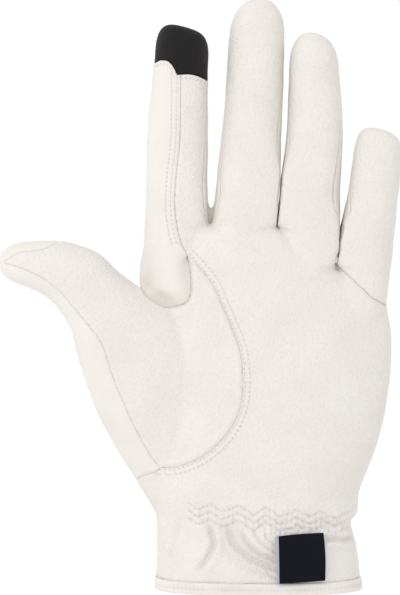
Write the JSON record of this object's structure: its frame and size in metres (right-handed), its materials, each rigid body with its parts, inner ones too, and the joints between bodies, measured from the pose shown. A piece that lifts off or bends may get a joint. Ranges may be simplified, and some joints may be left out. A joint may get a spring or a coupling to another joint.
{
  "type": "riding glove",
  "caption": "Left-hand leather riding glove with a smocked wrist, bound hem, dark touch fingertip and woven cuff label, in its filled shape.",
  "frame": {"origin": "middle of the wrist opening, in the plane of the hem", "axes": "+Z from the wrist up along the fingers, -Y out of the palm, +Y out of the back of the hand, -X towards the thumb"},
  "size_m": [0.155, 0.0488, 0.2296],
  "materials": {
    "grained_leather": "ivory leather with a fine embossed dot grain, matt",
    "smooth_leather": "ivory smooth leather, soft satin",
    "touch_fabric": "black knitted touch fabric, matt",
    "woven_label": "navy woven label with a pale folded edge"
  },
  "bodies": {
    "root": {"palm_panel": "grained_leather", "back_panel": "smooth_leather", "little_front": "grained_leather", "index_gusset": "smooth_leather", "index_tip_cap": "touch_fabric", "thumb_front": "grained_leather", "thumb_back": "smooth_leather", "strip_index_middle": "smooth_leather", "strip_middle_ring": "smooth_leather", "strip_ring_little": "smooth_leather", "hem_binding": "smooth_leather", "label_tab": "woven_label"}
  },
  "joints": []
}
